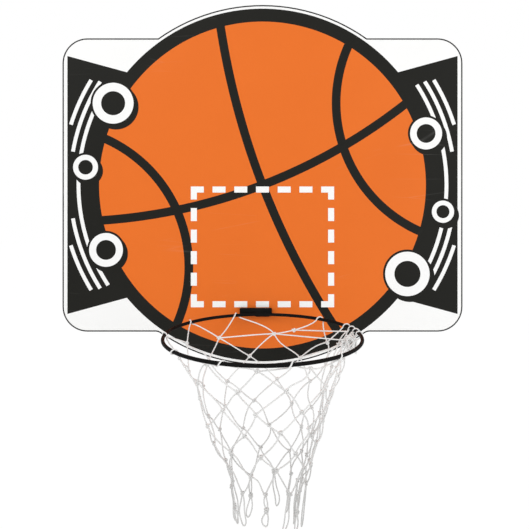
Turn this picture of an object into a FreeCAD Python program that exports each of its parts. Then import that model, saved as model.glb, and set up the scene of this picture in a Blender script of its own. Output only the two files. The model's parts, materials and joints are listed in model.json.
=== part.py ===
import FreeCAD
import Part

import math
import os
import re

# A wall-hung basketball backboard with a fixed wire hoop and a knotted net, in millimetres.
# +Z is up, the front looks along -Y, and the origin is the middle of the ball on the back plane.

SIZES = {
    # board outline: a rounded sheet, and a disc that stands out above and below it
    "board_width": 450,
    "board_side_height": 330,
    "ball_rise": 37.5,
    "corner_radius": 28,
    "neck_fillet_radius": 10,
    "panel_thickness": 9,
    "print_thickness": 0.6,
    "band_thickness": 1.5,
    # hoop of round wire, and the bar that its back is welded to
    "hoop_diameter": 188,
    "wire_diameter": 3.4,
    "hoop_lift": 21,
    "bar_length": 36,
    "bar_height": 8,
    "bar_thickness": 6,
    "bar_lift": 2,
    "bar_slip": 7.5,
    "weld_length": 18,
    "weld_diameter": 2.2,
    # pan-head screws and washers that pull the bar against the board from behind
    "bar_screw_spacing": 22,
    "bar_screw_diameter": 4,
    "bar_screw_grip": 4.6,
    "bar_screw_head_diameter": 8,
    "bar_screw_head_height": 2.6,
    "bar_screw_head_round": 1.2,
    "bar_washer_diameter": 9,
    "bar_washer_thickness": 0.8,
    "bar_hole_end": 0.4,
    # keyhole plates let into the back, and their countersunk screws
    "hanger_spacing": 280,
    "hanger_rise": 105,
    "hanger_width": 18,
    "hanger_length": 52,
    "hanger_thickness": 1.5,
    "keyhole_head_diameter": 9,
    "keyhole_slot_width": 4.6,
    "keyhole_slot_rise": 10,
    "well_margin": 2,
    "well_depth": 4.5,
    "hanger_screw_spacing": 38,
    "hanger_screw_diameter": 3,
    "hanger_screw_head_diameter": 5.6,
    "hanger_screw_head_height": 1.3,
    "hanger_screw_length": 6,
    "hanger_screw_tip": 1.5,
    # cross recess of every screw
    "recess_width": 0.9,
    "recess_length": 3.6,
    "recess_depth": 0.9,
    # knotted net
    "cord_diameter": 1.3,
    "knot_diameter": 3.6,
    "strand_sink": 0.2,
    "hitch_width": 7,
    "net_top_drop": 14,
    "net_row_drop": 21,
    "net_loop_drop": 38,
    "net_loop_width": 6,
    "net_loop_stance": 2.2,
    # clearances
    "hole_clearance": 0.25,
    "thread_clearance": 0.05,
    "recess_clearance": 0.2,
    "flush_depth": 0.1,
    "cord_clearance": 0.1,
    "overrun": 1,
}

# Places round the hoop where the net's cord is laid over it, as shares of a turn from +X to the board.
# The first four are drawn together.
HITCH_TURN_SHARES = [
    0.012, 0.030, 0.048, 0.066, 0.135, 0.299, 0.397, 0.493, 0.600, 0.693, 0.790, 0.873,
]
# Radius of the net at each row of knots in its three lengths, as shares of the hoop's radius.
ROW_RADIUS_SHARES = {
    "net_upper": [0.85, 0.75],
    "net_middle": [0.67, 0.6],
    "net_tail": [0.525, 0.45, 0.385],
}

# Directions round a knot in which a clear place for its seam is looked for.
SEAM_TRIES = 24

# Formulas in the sheet's names that several pieces share.
FACE = "(panel_thickness + print_thickness)"
HOOP_Y = f"-({FACE} + bar_thickness + (wire_diameter + hoop_diameter) / 2)"
HOOP_Z = "(hoop_lift - board_side_height / 2)"
BAR_X = "(-bar_slip)"
BAR_Z = f"({HOOP_Z} + bar_lift)"
BAR_SCREW_X = f"({BAR_X} + bar_screw_spacing / 2)"
BORE_DEPTH = "(bar_screw_head_height + bar_washer_thickness + flush_depth)"
PLATE_Z = "(hanger_rise + keyhole_slot_rise / 2)"
PLATE_FLOOR = "(hanger_thickness + flush_depth)"

doc = FreeCAD.newDocument("basketball_backboard")
cells = doc.addObject("Spreadsheet::Sheet", "Sizes")
for row, (alias, number) in enumerate(SIZES.items(), start=1):
    cells.set(f"A{row}", alias)
    cells.set(f"B{row}", str(number))
    cells.setAlias(f"B{row}", alias)
doc.recompute()


def size(alias):
    return float(cells.get(alias))


def in_sheet(formula):
    """The formula with each size's name pointed at its cell."""
    return re.sub(r"[a-z_]+", lambda word: f"Sizes.{word[0]}" if word[0] in SIZES else word[0], formula)


def bound(kind, name, at=("0", "0", "0"), along_y=False, **formulas):
    """A new object whose sizes and place are bound to the sheet; along_y turns its own Z to +Y."""
    made = doc.addObject(kind, name)
    if along_y:
        made.Placement = FreeCAD.Placement(FreeCAD.Vector(), FreeCAD.Rotation(FreeCAD.Vector(1, 0, 0), -90))
    for prop, formula in formulas.items():
        made.setExpression(prop, in_sheet(formula))
    for axis, formula in zip("xyz", at):
        made.setExpression(f"Placement.Base.{axis}", in_sheet(formula))
    return made


def box(name, length, width, height, x, y, z):
    """A box that is centred on x and z and starts at y."""
    corner = (f"{x} - ({length}) / 2", y, f"{z} - ({height}) / 2")
    return bound("Part::Box", name, corner, Length=length, Width=width, Height=height)


def rod(name, diameter, length, x, y, z):
    """A cylinder that starts at y and runs back along +Y."""
    return bound("Part::Cylinder", name, (x, y, z), True, Radius=f"({diameter}) / 2", Height=length)


def cone(name, front, back, length, x, y, z):
    """A cone that starts at y with its front diameter and runs back along +Y."""
    sides = {"Radius1": f"({front}) / 2", "Radius2": f"({back}) / 2"}
    return bound("Part::Cone", name, (x, y, z), True, Height=length, **sides)


def fused(name, *pieces):
    union = doc.addObject("Part::MultiFuse", name)
    union.Shapes = list(pieces)
    union.Refine = True
    return union


def grouped(name, *pieces):
    group = doc.addObject("Part::Compound", name)
    group.Links = list(pieces)
    return group


def cut(name, base, *tools):
    result = doc.addObject("Part::Cut", name)
    result.Base = base
    result.Tool = tools[0] if len(tools) == 1 else grouped(f"{name}_tools", *tools)
    return result


def mirrored(name, source, middle="0"):
    """The same piece on the other side of the upright plane at x = middle."""
    copy = doc.addObject("Part::Mirroring", name)
    copy.Source = source
    copy.Normal = FreeCAD.Vector(1, 0, 0)
    copy.setExpression("Base.x", in_sheet(middle))
    return copy


def rounded(name, base, radius, chosen):
    """A fillet on the edges of the base that chosen picks by their middle point and direction."""
    doc.recompute()
    picked = []
    for number, edge in enumerate(base.Shape.Edges, start=1):
        middle = edge.valueAt((edge.FirstParameter + edge.LastParameter) / 2)
        if chosen(edge, middle):
            picked.append((number, radius, radius))
    fillet = doc.addObject("Part::Fillet", name)
    fillet.Base = base
    fillet.Edges = picked
    return fillet


def runs_back(edge):
    """True for a straight edge along Y."""
    return isinstance(edge.Curve, Part.Line) and abs(edge.Curve.Direction.y) > math.cos(math.pi / 4)


def slab(name, inset, front, depth):
    """The board's outline, moved in by inset, from the plane at front back along +Y."""
    width = f"board_width - 2 * {inset}"
    height = f"board_side_height - 2 * {inset}"
    sheet = box(f"{name}_sheet", width, depth, height, "0", front, "0")
    edge_move = size(inset) if inset in SIZES else 0
    corner_radius = size("corner_radius") - edge_move
    corners = rounded(f"{name}_corners", sheet, corner_radius, lambda edge, middle: runs_back(edge))
    disc = rod(f"{name}_disc", f"{height} + 2 * ball_rise", depth, "0", front, "0")
    union = fused(f"{name}_union", corners, disc)
    half_height = size("board_side_height") / 2 - edge_move
    neck = math.sqrt((half_height + size("ball_rise")) ** 2 - half_height**2)
    # only the lower necks are eased: the upper ones are sharp
    neck_place = FreeCAD.Vector(neck, 0, -half_height)

    def lower_neck(edge, middle):
        place = FreeCAD.Vector(abs(middle.x), 0, middle.z)
        return runs_back(edge) and place.distanceToPoint(neck_place) < size("flush_depth")

    return rounded(f"{name}_outline", union, size("neck_fillet_radius") + edge_move, lower_neck)


def cross_recess(name, x, y, z):
    """Two crossed bars that cut a screw head's recess from its face at y, towards -Y."""
    start = f"{y} - recess_depth"
    depth = "recess_depth + overrun"
    flat = box(f"{name}_flat", "recess_length", depth, "recess_width", x, start, z)
    upright = box(f"{name}_upright", "recess_width", depth, "recess_length", x, start, z)
    return fused(name, flat, upright)


def board():
    """Panel with its holes, the printed sheet on its face, and the strip round its edge."""
    hole = rod(
        "bar_hole", "bar_screw_diameter + 2 * hole_clearance", f"{FACE} + 2 * overrun",
        BAR_SCREW_X, f"-{FACE} - overrun", BAR_Z,
    )
    bore = rod(
        "bar_bore", "bar_washer_diameter + 2 * hole_clearance", f"{BORE_DEPTH} + overrun",
        BAR_SCREW_X, f"-{BORE_DEPTH}", BAR_Z,
    )
    bar_holes = grouped("bar_holes", hole, mirrored("bar_hole_left", hole, BAR_X))
    bar_bores = grouped("bar_bores", bore, mirrored("bar_bore_left", bore, BAR_X))
    recess = hanger_recess()
    core = slab("core", "band_thickness", "-panel_thickness", "panel_thickness")
    panel = cut("panel", core, bar_holes, bar_bores, recess, mirrored("hanger_recess_left", recess))
    sheet = slab("print", "band_thickness", f"-{FACE}", "print_thickness")
    face_print = cut("face_print", sheet, bar_holes)
    outer = slab("band_outer", "0", f"-{FACE}", FACE)
    inner = slab("band_inner", "band_thickness", f"-{FACE} - overrun", f"{FACE} + 2 * overrun")
    edge_band = cut("edge_band", outer, inner)
    return panel, face_print, edge_band


def plate_shape(name, grow, depth, front):
    """The hanger plate's outline with round ends, grown all round, from front back along +Y."""
    width = f"hanger_width + 2 * {grow}"
    reach = "(hanger_length - hanger_width) / 2"
    x = "hanger_spacing / 2"
    middle = box(f"{name}_middle", width, depth, f"2 * {reach}", x, front, PLATE_Z)
    upper = rod(f"{name}_upper", width, depth, x, front, f"{PLATE_Z} + {reach}")
    lower = rod(f"{name}_lower", width, depth, x, front, f"{PLATE_Z} - {reach}")
    return fused(name, middle, upper, lower)


def keyhole(name, head, slot, depth, front):
    """A round entry with a slot above it, from front back along +Y."""
    x = "hanger_spacing / 2"
    slot_middle = "hanger_rise + keyhole_slot_rise / 2"
    entry = rod(f"{name}_entry", head, depth, x, front, "hanger_rise")
    way = box(f"{name}_way", slot, depth, "keyhole_slot_rise", x, front, slot_middle)
    end = rod(f"{name}_end", slot, depth, x, front, "hanger_rise + keyhole_slot_rise")
    return fused(name, entry, way, end)


def hanger_screw_places():
    reach = "hanger_screw_spacing / 2"
    return [("low", f"{PLATE_Z} - {reach}"), ("high", f"{PLATE_Z} + {reach}")]


def hanger_recess():
    """What is routed out of the panel for one hanger: plate seat, well for the wall screw's head, pilots."""
    x = "hanger_spacing / 2"
    seat = plate_shape("seat", "recess_clearance", f"{PLATE_FLOOR} + overrun", f"-{PLATE_FLOOR}")
    room = "keyhole_head_diameter + 2 * well_margin"
    well = keyhole("well", room, room, "well_depth + overrun", f"-{PLATE_FLOOR} - well_depth")
    pilots = []
    for name, z in hanger_screw_places():
        depth = "hanger_screw_length + flush_depth"
        bore = "hanger_screw_diameter + 2 * thread_clearance"
        pilots.append(rod(f"pilot_{name}", bore, depth, x, f"-({depth})", z))
    return fused("hanger_recess", seat, well, *pilots)


def hanger():
    """One keyhole plate, its outer face just under the board's back plane."""
    x = "hanger_spacing / 2"
    blank = plate_shape("plate", "0", "hanger_thickness", f"-{PLATE_FLOOR}")
    through = "hanger_thickness + 2 * overrun"
    front = f"-{PLATE_FLOOR} - overrun"
    slot = keyhole("plate_keyhole", "keyhole_head_diameter", "keyhole_slot_width", through, front)
    sinks = []
    for name, z in hanger_screw_places():
        bore = "hanger_screw_diameter + 2 * hole_clearance"
        sinks.append(rod(f"plate_hole_{name}", bore, through, x, front, z))
        wide = "hanger_screw_head_diameter + 2 * hole_clearance"
        start = "-flush_depth - hanger_screw_head_height"
        sinks.append(cone(f"plate_sink_{name}", bore, wide, "hanger_screw_head_height", x, start, z))
    return cut("hanger_right", blank, slot, *sinks)


def hanger_screws():
    """Four short countersunk screws, two to a plate, their heads level with the plates' faces."""
    x = "hanger_spacing / 2"
    screws = []
    for name, z in hanger_screw_places():
        under = "-flush_depth - hanger_screw_head_height"
        head = cone(
            f"head_{name}", "hanger_screw_diameter", "hanger_screw_head_diameter",
            "hanger_screw_head_height", x, under, z,
        )
        body_length = "hanger_screw_length - hanger_screw_head_height - hanger_screw_tip"
        shank = rod(f"shank_{name}", "hanger_screw_diameter", body_length, x, f"{under} - ({body_length})", z)
        tip_end = "-flush_depth - hanger_screw_length"
        tip = cone(f"tip_{name}", "0", "hanger_screw_diameter", "hanger_screw_tip", x, tip_end, z)
        whole = fused(f"screw_{name}", head, shank, tip)
        screws.append(cut(f"hanger_screw_{name}", whole, cross_recess(f"cross_{name}", x, "-flush_depth", z)))
    copies = [mirrored(f"{screw.Name}_left", screw) for screw in screws]
    return grouped("hanger_screws", *screws, *copies)


def hoop_set():
    """Wire hoop, the bar behind it with its tapped holes, and the weld beads between them."""
    hoop = bound(
        "Part::Torus", "hoop", ("0", HOOP_Y, HOOP_Z),
        Radius1="hoop_diameter / 2", Radius2="wire_diameter / 2",
    )
    bar_front = f"-{FACE} - bar_thickness"
    blank = box("bar_blank", "bar_length", "bar_thickness", "bar_height", BAR_X, bar_front, BAR_Z)
    depth = "bar_screw_grip + bar_hole_end"
    tapped = rod(
        "bar_tapped", "bar_screw_diameter + 2 * thread_clearance", f"{depth} + overrun",
        BAR_SCREW_X, f"-{FACE} - ({depth})", BAR_Z,
    )
    hoop_bar = cut("hoop_bar", blank, tapped, mirrored("bar_tapped_left", tapped, BAR_X))
    beads = []
    for name, side in (("upper", "+"), ("lower", "-")):
        z = f"{HOOP_Z} {side} wire_diameter / 2"
        bead = bound(
            "Part::Cylinder", f"bead_{name}", ("-weld_length / 2", bar_front, z),
            Radius="weld_diameter / 2", Height="weld_length",
        )
        bead.Placement.Rotation = FreeCAD.Rotation(FreeCAD.Vector(0, 1, 0), 90)
        beads.append(cut(f"weld_{name}", bead, hoop, blank))
    return hoop, hoop_bar, grouped("hoop_welds", *beads)


def bar_fasteners():
    """Two pan-head screws from behind, each on a flat washer at the floor of its bore."""
    x = BAR_SCREW_X
    washer_front = f"-{BORE_DEPTH}"
    head_front = f"{washer_front} + bar_washer_thickness"
    disc = rod("washer_disc", "bar_washer_diameter", "bar_washer_thickness", x, washer_front, BAR_Z)
    hole = rod(
        "washer_hole", "bar_screw_diameter + 2 * hole_clearance", "bar_washer_thickness + 2 * overrun",
        x, f"{washer_front} - overrun", BAR_Z,
    )
    washer = cut("washer", disc, hole)
    block = rod("screw_block", "bar_screw_head_diameter", "bar_screw_head_height", x, head_front, BAR_Z)
    back = -size("flush_depth")

    def outer_rim(edge, middle):
        return isinstance(edge.Curve, Part.Circle) and abs(middle.y - back) < size("flush_depth") / 2

    head = rounded("screw_head", block, size("bar_screw_head_round"), outer_rim)
    reach = f"{FACE} - {BORE_DEPTH} + bar_washer_thickness + bar_screw_grip"
    shank = rod("screw_shank", "bar_screw_diameter", reach, x, f"{head_front} - ({reach})", BAR_Z)
    whole = fused("screw_whole", head, shank)
    screw = cut("bar_screw", whole, cross_recess("bar_screw_cross", x, "-flush_depth", BAR_Z))
    screws = grouped("bar_screws", screw, mirrored("bar_screw_left", screw, BAR_X))
    washers = grouped("bar_washers", washer, mirrored("washer_left", washer, BAR_X))
    return screws, washers


def shown(name, shape):
    """A document object for a shape that is worked out from the sheet."""
    piece = doc.addObject("Part::Feature", name)
    piece.Shape = shape
    return piece


def outward(angle):
    return FreeCAD.Vector(math.cos(angle), math.sin(angle), 0)


def hitch_turns(hoop):
    """Angles of the two turns of cord at each of the net's places on the hoop."""
    half_turn = size("hitch_width") / hoop.Radius1.Value / 2
    middles = [math.tau * share for share in HITCH_TURN_SHARES]
    return [(middle - half_turn, middle + half_turn) for middle in middles]


def on_wire(hoop, angle):
    return hoop.Placement.Base + outward(angle) * hoop.Radius1.Value


def net_rows(hoop):
    """Each row of knots: its length's name, and its knots' angles and centres, midway between those above."""
    drop = size("net_top_drop")
    angles = [math.tau * share for share in HITCH_TURN_SHARES]
    rows = []
    for name, shares in ROW_RADIUS_SHARES.items():
        for share in shares:
            following = angles[1:] + [angles[0] + math.tau]
            angles = [(angle + after) / 2 for angle, after in zip(angles, following)]
            middle = hoop.Placement.Base - FreeCAD.Vector(0, 0, drop)
            reach = hoop.Radius1.Value * share
            rows.append((name, [(angle, middle + outward(angle) * reach) for angle in angles]))
            drop += size("net_row_drop")
    return rows


def knot(angle, place, cord_ends):
    """A ball whose poles face in and out of the net and whose seam is where it is farthest from its cords."""
    out = outward(angle)
    up = FreeCAD.Vector(0, 0, 1)
    ways = [(end - place).normalize() for end in cord_ends]
    turns = [math.tau * number / SEAM_TRIES for number in range(SEAM_TRIES)]
    tries = [up * math.cos(turn) + out.cross(up) * math.sin(turn) for turn in turns]
    seam = min(tries, key=lambda way: max(way.dot(cord) for cord in ways))
    ball = Part.makeSphere(size("knot_diameter") / 2)
    ball.Placement = FreeCAD.Placement(place, FreeCAD.Rotation(seam, out.cross(seam), out, "ZXY"))
    return ball


def strand(upper, lower, upper_gap, lower_gap):
    """A straight cord between two knots, short of each centre by its gap."""
    way = (lower - upper).normalize()
    start = upper + way * upper_gap
    length = (lower - way * lower_gap - start).Length
    return Part.makeCylinder(size("cord_diameter") / 2, length, start, way)


def hitch_ends(hoop):
    """Under the wire, the two ends that each knot of the first row hangs by, from the turns nearer to it."""
    turns = hitch_turns(hoop)
    cord = size("cord_diameter")
    below_wire = size("wire_diameter") / 2 + cord + cord / 2 + 2 * size("cord_clearance")
    ends = []
    for before, after in zip(turns, turns[1:] + turns[:1]):
        nearer = (before[1], after[0])
        ends.append([on_wire(hoop, angle) - FreeCAD.Vector(0, 0, below_wire) for angle in nearer])
    return ends


def loop_starts(top, along):
    """Where the two legs of an end loop come out of their knot."""
    half_stance = size("net_loop_stance") / 2
    depth = math.sqrt((size("knot_diameter") / 2) ** 2 - half_stance**2)
    return [top + along * side - FreeCAD.Vector(0, 0, depth) for side in (half_stance, -half_stance)]


def end_loop(top, along):
    """A teardrop of cord below a knot: two straight legs tangent to a round end."""
    down = FreeCAD.Vector(0, 0, -1)
    end_radius = size("net_loop_width") / 2
    half_stance = size("net_loop_stance") / 2
    depth = size("net_loop_drop") - end_radius
    span = math.hypot(half_stance, depth)
    turn = math.atan2(depth, half_stance) - math.acos(end_radius / span)

    def at(sideways, below):
        return top + along * sideways + down * below

    right = at(end_radius * math.cos(turn), depth - end_radius * math.sin(turn))
    left = at(-end_radius * math.cos(turn), depth - end_radius * math.sin(turn))
    start = at(half_stance, 0)
    finish = at(-half_stance, 0)
    route = Part.Wire([
        Part.LineSegment(start, right).toShape(),
        Part.Arc(right, at(0, depth + end_radius), left).toShape(),
        Part.LineSegment(left, finish).toShape(),
    ])
    section = Part.Wire(Part.Circle(start, right - start, size("cord_diameter") / 2).toShape())
    return route.makePipeShell([section], True, False)


def ring_loops(hoop):
    """The closed turns of cord round the hoop's wire that the net hangs by."""
    around = (size("wire_diameter") + size("cord_diameter")) / 2 + size("cord_clearance")
    loops = []
    for turns in hitch_turns(hoop):
        for angle in turns:
            along = FreeCAD.Vector(0, 0, 1).cross(outward(angle))
            loops.append(Part.makeTorus(around, size("cord_diameter") / 2, on_wire(hoop, angle), along))
    return shown("net_ring_loops", Part.makeCompound(loops))


def net(hoop):
    """Three lengths of net: one that hangs from the hoop, and two from the last knots of the one above."""
    knot_radius = size("knot_diameter") / 2
    inside = knot_radius - size("strand_sink")
    outside = knot_radius + size("cord_clearance")
    rows = net_rows(hoop)
    pieces = {name: [] for name in ROW_RADIUS_SHARES}
    holders = hitch_ends(hoop)
    upper_gap = 0
    for level, (name, row) in enumerate(rows):
        places = [place for _, place in row]
        below = rows[level + 1] if level + 1 < len(rows) else None
        for number, (angle, place) in enumerate(row):
            if below:
                carried = [below[1][number - 1][1], below[1][number][1]]
            else:
                along = FreeCAD.Vector(0, 0, 1).cross(outward(angle))
                carried = loop_starts(place, along)
                pieces[name].append(end_loop(place, along))
            pieces[name].append(knot(angle, place, holders[number] + carried))
            pieces[name] += [strand(holder, place, upper_gap, inside) for holder in holders[number]]
        holders = [list(pair) for pair in zip(places, places[1:] + places[:1])]
        upper_gap = inside if below and below[0] == name else outside
    return [shown(name, parts[0].multiFuse(parts[1:])) for name, parts in pieces.items()]


panel, face_print, edge_band = board()
hoop, hoop_bar, hoop_welds = hoop_set()
bar_screws, bar_washers = bar_fasteners()
hanger_right = hanger()
hanger_left = mirrored("hanger_left", hanger_right)
doc.recompute()
nodes = [
    panel, face_print, edge_band,
    hoop, hoop_bar, hoop_welds, bar_screws, bar_washers,
    hanger_left, hanger_right, hanger_screws(),
    ring_loops(hoop), *net(hoop),
]
doc.recompute()

for item in doc.Objects:
    if "Invalid" in item.State or "Error" in item.State:
        raise RuntimeError(f"{item.Name} failed to build")
for node in nodes:
    node.Label = node.Name
    if node.Shape.isNull() or not node.Shape.isValid() or not node.Shape.Solids:
        raise RuntimeError(f"{node.Label} has no sound shape")

os.makedirs("parts", exist_ok=True)
for node in nodes:
    node.Shape.exportStep(f"parts/{node.Label}.step")
    print(f"{node.Label}: {len(node.Shape.Solids)} solids, {node.Shape.Volume:.1f} mm3")
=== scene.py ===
import bpy
import json
import math
import random
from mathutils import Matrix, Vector


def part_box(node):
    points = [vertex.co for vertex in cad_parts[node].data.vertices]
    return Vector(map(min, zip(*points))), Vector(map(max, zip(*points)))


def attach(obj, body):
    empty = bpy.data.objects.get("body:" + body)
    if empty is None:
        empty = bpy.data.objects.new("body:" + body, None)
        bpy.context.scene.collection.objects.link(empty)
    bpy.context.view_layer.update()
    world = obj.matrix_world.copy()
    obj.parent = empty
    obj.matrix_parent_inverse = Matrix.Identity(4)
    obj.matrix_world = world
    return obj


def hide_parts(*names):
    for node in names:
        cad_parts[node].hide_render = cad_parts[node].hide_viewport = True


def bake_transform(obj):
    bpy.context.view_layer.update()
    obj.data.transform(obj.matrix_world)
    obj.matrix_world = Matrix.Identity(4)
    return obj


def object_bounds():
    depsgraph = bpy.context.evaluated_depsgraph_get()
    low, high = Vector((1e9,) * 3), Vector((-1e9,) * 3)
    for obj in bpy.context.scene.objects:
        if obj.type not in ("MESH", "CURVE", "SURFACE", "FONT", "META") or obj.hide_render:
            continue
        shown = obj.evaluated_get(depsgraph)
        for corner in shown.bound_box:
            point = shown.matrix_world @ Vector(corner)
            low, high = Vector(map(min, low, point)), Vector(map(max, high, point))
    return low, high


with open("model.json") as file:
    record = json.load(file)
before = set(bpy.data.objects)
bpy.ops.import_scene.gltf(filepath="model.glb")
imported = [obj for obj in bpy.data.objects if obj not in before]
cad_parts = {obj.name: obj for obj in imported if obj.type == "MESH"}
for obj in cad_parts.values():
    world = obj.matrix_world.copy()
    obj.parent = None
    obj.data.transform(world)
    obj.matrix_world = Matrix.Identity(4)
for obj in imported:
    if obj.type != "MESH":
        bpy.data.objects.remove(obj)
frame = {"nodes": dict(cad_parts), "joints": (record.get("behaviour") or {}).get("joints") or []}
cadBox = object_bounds()
nodes = frame["nodes"]
joints = {joint["name"]: Vector(joint["pos_m"]) for joint in frame["joints"]}

# places read from the frame
hoopLow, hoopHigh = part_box("hoop")
barLow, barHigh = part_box("hoop_bar")
weldLow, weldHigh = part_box("hoop_welds")
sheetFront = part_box("face_print")[0].y
hoopMiddle = (hoopLow + hoopHigh) / 2
wireRadius = (hoopHigh.z - hoopLow.z) / 2
hoopRadius = (hoopHigh.x - hoopLow.x) / 2 - wireRadius
upright = (math.pi / 2, 0, 0)  # turns what lies flat, and the camera, square to the board
print("frame loaded, hoop radius", round(hoopRadius, 4))


# shader steps

def setSocket(tree, socket, value):
    # links the output of another node, or sets a colour or a number
    if isinstance(value, bpy.types.NodeSocket):
        tree.links.new(value, socket)
    else:
        socket.default_value = (*value, 1) if isinstance(value, tuple) else value


def objectPlace(tree):
    return tree.nodes.new("ShaderNodeTexCoord").outputs["Object"]


def addMapping(tree, vector, scale, turn=0.0):
    node = tree.nodes.new("ShaderNodeMapping")
    node.inputs["Rotation"].default_value = (0, turn, 0)
    node.inputs["Scale"].default_value = scale
    tree.links.new(vector, node.inputs["Vector"])
    return node.outputs[0]


def addMath(tree, operation, first, second):
    node = tree.nodes.new("ShaderNodeMath")
    node.operation = operation
    setSocket(tree, node.inputs[0], first)
    setSocket(tree, node.inputs[1], second)
    return node.outputs[0]


def addNoise(tree, vector, scale, detail, roughness=0.55):
    node = tree.nodes.new("ShaderNodeTexNoise")
    node.inputs["Detail"].default_value = detail
    node.inputs["Roughness"].default_value = roughness
    setSocket(tree, node.inputs["Scale"], scale)
    tree.links.new(vector, node.inputs["Vector"])
    return node.outputs["Fac"]


def addRange(tree, value, edges, results=(0.0, 1.0)):
    # spreads what lies between the two edges over the two results
    node = tree.nodes.new("ShaderNodeMapRange")
    for label, limit in zip(("From Min", "From Max", "To Min", "To Max"), (*edges, *results)):
        node.inputs[label].default_value = limit
    tree.links.new(value, node.inputs["Value"])
    return node.outputs["Result"]


def addMix(tree, share, first, second):
    node = tree.nodes.new("ShaderNodeMix")
    node.data_type = "RGBA"
    setSocket(tree, node.inputs["Factor"], share)
    setSocket(tree, node.inputs[6], first)  # 6, 7 and 2 are this node's colour sockets
    setSocket(tree, node.inputs[7], second)
    return node.outputs[2]


def newMaterial(name):
    material = bpy.data.materials.new(name)
    material.use_nodes = True
    return material, material.node_tree, material.node_tree.nodes["Principled BSDF"]


# camera: level, square to the board, with the frame slid down to the net

cameraValues = {
    "lens": 40.46,
    "sensor": 36.0,
    "distance": 0.6689,  # to the printed face
    "shiftRight": 0.0038,
    "shiftUp": -0.1503,
    "nearest": 0.01,  # closer than this nothing is drawn
}


def makeCamera():
    place = (0, sheetFront - cameraValues["distance"], 0)
    bpy.ops.object.camera_add(location=place, rotation=upright)
    camera = bpy.context.object
    camera.data.lens = cameraValues["lens"]
    camera.data.sensor_width = cameraValues["sensor"]
    camera.data.shift_x = cameraValues["shiftRight"]
    camera.data.shift_y = cameraValues["shiftUp"]
    camera.data.clip_start = cameraValues["nearest"]
    bpy.context.scene.camera = camera


# studio: pale floor, white surround, two broad lamps

studioValues = {
    "surround": 0.66,  # strength of the white surround as light; where it is seen it is plain white
    "floorDrop": 0.45,  # floor below the net
    "floorSize": 14.0,
    "floorColour": (0.9, 0.9, 0.9),
    "floorRoughness": 0.8,
    "floorGlow": 0.86,  # share of white in the floor where it is seen; the rest keeps the shadow
    "glowStrength": 1.063,
    "aim": (0, -0.05, -0.05),
    # name, place, power and size of each lamp
    "lamps": [
        ("keyLamp", (-1.3, -2.0, 1.5), 23.0, 1.8),
        ("fillLamp", (1.6, -1.8, 0.3), 13.5, 2.2),
    ],
}


def seenPlainly(tree):
    # rays that show the background itself: from the camera, in a mirror or through glass
    path = tree.nodes.new("ShaderNodeLightPath").outputs
    seen = addMath(tree, "MAXIMUM", path["Is Camera Ray"], path["Is Glossy Ray"])
    return addMath(tree, "MAXIMUM", seen, path["Is Transmission Ray"])


def makeLamp(name, place, power, size):
    bpy.ops.object.light_add(type="AREA", location=place)
    lamp = bpy.context.object
    lamp.name = name
    lamp.data.energy = power
    lamp.data.shape = "DISK"
    lamp.data.size = size
    way = Vector(studioValues["aim"]) - Vector(place)
    lamp.rotation_euler = way.to_track_quat("-Z", "Y").to_euler()


def makeSurround():
    world = bpy.data.worlds.new("paleRoom")
    bpy.context.scene.world = world
    world.use_nodes = True
    tree = world.node_tree
    background = tree.nodes["Background"]
    background.inputs["Color"].default_value = (1, 1, 1, 1)
    strength = addRange(tree, seenPlainly(tree), (0.0, 1.0), (studioValues["surround"], 1.0))
    tree.links.new(strength, background.inputs["Strength"])


def floorPaint():
    material, tree, shader = newMaterial("floorPaint")
    setSocket(tree, shader.inputs["Base Color"], studioValues["floorColour"])
    setSocket(tree, shader.inputs["Roughness"], studioValues["floorRoughness"])
    glow = tree.nodes.new("ShaderNodeEmission")
    setSocket(tree, glow.inputs["Strength"], studioValues["glowStrength"])
    mix = tree.nodes.new("ShaderNodeMixShader")
    share = addMath(tree, "MULTIPLY", seenPlainly(tree), studioValues["floorGlow"])
    tree.links.new(share, mix.inputs["Fac"])
    tree.links.new(shader.outputs[0], mix.inputs[1])
    tree.links.new(glow.outputs[0], mix.inputs[2])
    tree.links.new(mix.outputs[0], tree.nodes["Material Output"].inputs["Surface"])
    return material


def makeStudio():
    bpy.context.scene.view_settings.view_transform = "Standard"
    makeSurround()
    floorHeight = cadBox[0].z - studioValues["floorDrop"]
    bpy.ops.mesh.primitive_plane_add(size=studioValues["floorSize"], location=(0, 0, floorHeight))
    floor = bpy.context.object
    floor.name = "studioFloor"
    floor.data.materials.append(floorPaint())
    for lamp in studioValues["lamps"]:
        makeLamp(*lamp)


makeCamera()
makeStudio()
print("camera and studio set")


# shader node groups that several finishes share

def newGroup(name, inputs, outputs):
    group = bpy.data.node_groups.new(name, "ShaderNodeTree")
    for label, kind, value in inputs:
        socket = group.interface.new_socket(label, in_out="INPUT", socket_type=kind)
        socket.default_value = value
    for label, kind in outputs:
        group.interface.new_socket(label, in_out="OUTPUT", socket_type=kind)
    return group, group.nodes.new("NodeGroupInput").outputs, group.nodes.new("NodeGroupOutput").inputs


tintValues = {
    "patchDetail": 4.0,
    "patchShare": 0.6,
    "speckDetail": 2.0,
    "speckShare": 0.4,
    "edges": (0.35, 0.65),  # where the other colour starts and where it is full
}


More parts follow.
